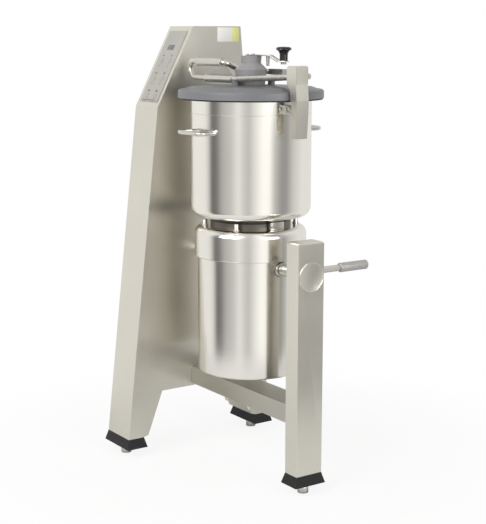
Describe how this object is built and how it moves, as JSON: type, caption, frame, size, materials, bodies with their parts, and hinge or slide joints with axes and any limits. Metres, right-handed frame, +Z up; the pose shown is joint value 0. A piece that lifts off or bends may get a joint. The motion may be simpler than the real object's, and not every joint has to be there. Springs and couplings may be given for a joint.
{
  "type": "cutter mixer",
  "caption": "Floor-standing vertical cutter mixer with a tilting bowl and motor unit between a sloped control column and a bearing post, hinged lid and hand scraper.",
  "frame": {"origin": "on the floor under the middle of the rubber feet", "axes": "+Z up, X from the control column to the bearing post, +Y away from the operator, metres in the mesh"},
  "size_m": [0.6676, 0.52, 1.25],
  "materials": {
    "cabinet_steel": "satin brushed stainless sheet",
    "bright_steel": "fine brushed stainless steel",
    "motor_steel": "satin stainless steel",
    "tube_steel": "polished stainless bar",
    "cast_metal": "machined aluminium",
    "iron": "plain cast iron",
    "bearing_bronze": "machined bronze",
    "black_rubber": "matte",
    "black_plastic": "fine matte",
    "white_plastic": "smooth food-grade plastic",
    "panel_plastic": "satin panel foil",
    "grey_plastic": "moulded, fine matte",
    "ribbed_steel": "fine knurled"
  },
  "bodies": {
    "frame": {"column_shell": "cabinet_steel", "column_rear_cover": "cabinet_steel", "cable_gland": "black_plastic", "control_plate": "panel_plastic", "key_board": "grey_plastic", "motor_inverter": "grey_plastic", "rubber_boots": "black_rubber", "levelling_glides": "tube_steel", "cross_beam": "cabinet_steel", "post_tube": "cabinet_steel", "bearing_housings": "cast_metal", "axle_bushes": "bearing_bronze", "axle_cover": "bright_steel"},
    "key_1": {"panel_key_1": "panel_plastic"},
    "key_2": {"panel_key_2": "panel_plastic"},
    "key_3": {"panel_key_3": "panel_plastic"},
    "key_4": {"panel_key_4": "panel_plastic"},
    "key_5": {"panel_key_5": "panel_plastic"},
    "key_6": {"panel_key_6": "panel_plastic"},
    "drive": {"motor_shell": "motor_steel", "motor_cover": "motor_steel", "motor_base": "motor_steel", "end_shields": "cast_metal", "shaft_bearings": "tube_steel", "motor_stator": "iron", "tilt_axles": "tube_steel", "tilt_lever": "tube_steel", "lever_grip": "ribbed_steel", "seat_ring": "tube_steel", "stop_block": "tube_steel", "seat_studs": "tube_steel", "shaft_seal": "black_rubber"},
    "rotor": {"motor_shaft": "tube_steel", "rotor_core": "iron", "cooling_fan": "black_plastic"},
    "bowl": {"bowl": "bright_steel", "bowl_base_ring": "tube_steel", "bowl_handles": "tube_steel", "hinge_bracket": "bright_steel", "hinge_pin": "tube_steel", "bracket_standoff": "tube_steel"},
    "blades": {"blade_hub": "bright_steel", "blades": "bright_steel", "blade_nut": "black_plastic"},
    "lid": {"lid_rim": "grey_plastic", "lid_gasket": "black_rubber", "lid_dome": "grey_plastic", "lid_chimney": "grey_plastic", "scraper_bush": "white_plastic", "arm_knuckle": "tube_steel", "arm_legs": "tube_steel", "arm_gusset": "bright_steel", "lid_handle": "tube_steel", "lid_handle_grip": "tube_steel"},
    "scraper": {"scraper_crank": "tube_steel", "scraper_shaft": "tube_steel", "scraper_arm": "tube_steel", "scraper_wipers": "white_plastic"},
    "knob": {"crank_knob": "black_plastic"}
  },
  "joints": [
    {"name": "tilt", "type": "hinge", "parent": "frame", "child": "drive", "pos_m": [0.04625, 0.0074, 0.60003], "axis": [1, 0, 0], "range_deg": [0, 100]},
    {"name": "shaft_spin", "type": "hinge", "parent": "drive", "child": "rotor", "pos_m": [0.04625, 0.0074, 0.60003], "axis": [0, 0, 1], "continuous": true},
    {"name": "bowl_lift", "type": "slide", "parent": "drive", "child": "bowl", "axis": [0, 0, 1], "range_m": [0, 0.16]},
    {"name": "blade_spin", "type": "hinge", "parent": "bowl", "child": "blades", "pos_m": [0.04625, 0.0074, 0.83503], "axis": [0, 0, 1], "continuous": true},
    {"name": "lid_hinge", "type": "hinge", "parent": "bowl", "child": "lid", "pos_m": [0.25725, 0.0074, 1.12003], "axis": [0, 1, 0], "range_deg": [0, 95]},
    {"name": "scraper_spin", "type": "hinge", "parent": "lid", "child": "scraper", "pos_m": [0.04625, 0.0074, 1.05753], "axis": [0, 0, 1], "range_deg": [-120, 150]},
    {"name": "knob_spin", "type": "hinge", "parent": "scraper", "child": "knob", "pos_m": [0.1468, 0.044, 1.15433], "axis": [0, 0, 1], "continuous": true},
    {"name": "key_press_1", "type": "slide", "parent": "frame", "child": "key_1", "axis": [0, 0.8863, -0.4631], "range_m": [0, 0.001], "stiffness_N_per_m": 600},
    {"name": "key_press_2", "type": "slide", "parent": "frame", "child": "key_2", "axis": [0, 0.8863, -0.4631], "range_m": [0, 0.001], "stiffness_N_per_m": 600},
    {"name": "key_press_3", "type": "slide", "parent": "frame", "child": "key_3", "axis": [0, 0.8863, -0.4631], "range_m": [0, 0.001], "stiffness_N_per_m": 600},
    {"name": "key_press_4", "type": "slide", "parent": "frame", "child": "key_4", "axis": [0, 0.8863, -0.4631], "range_m": [0, 0.001], "stiffness_N_per_m": 600},
    {"name": "key_press_5", "type": "slide", "parent": "frame", "child": "key_5", "axis": [0, 0.8863, -0.4631], "range_m": [0, 0.001], "stiffness_N_per_m": 600},
    {"name": "key_press_6", "type": "slide", "parent": "frame", "child": "key_6", "axis": [0, 0.8863, -0.4631], "range_m": [0, 0.001], "stiffness_N_per_m": 600}
  ],
  "couplings": [
    {"joint": "blade_spin", "follows": "shaft_spin", "ratio": 1}
  ]
}
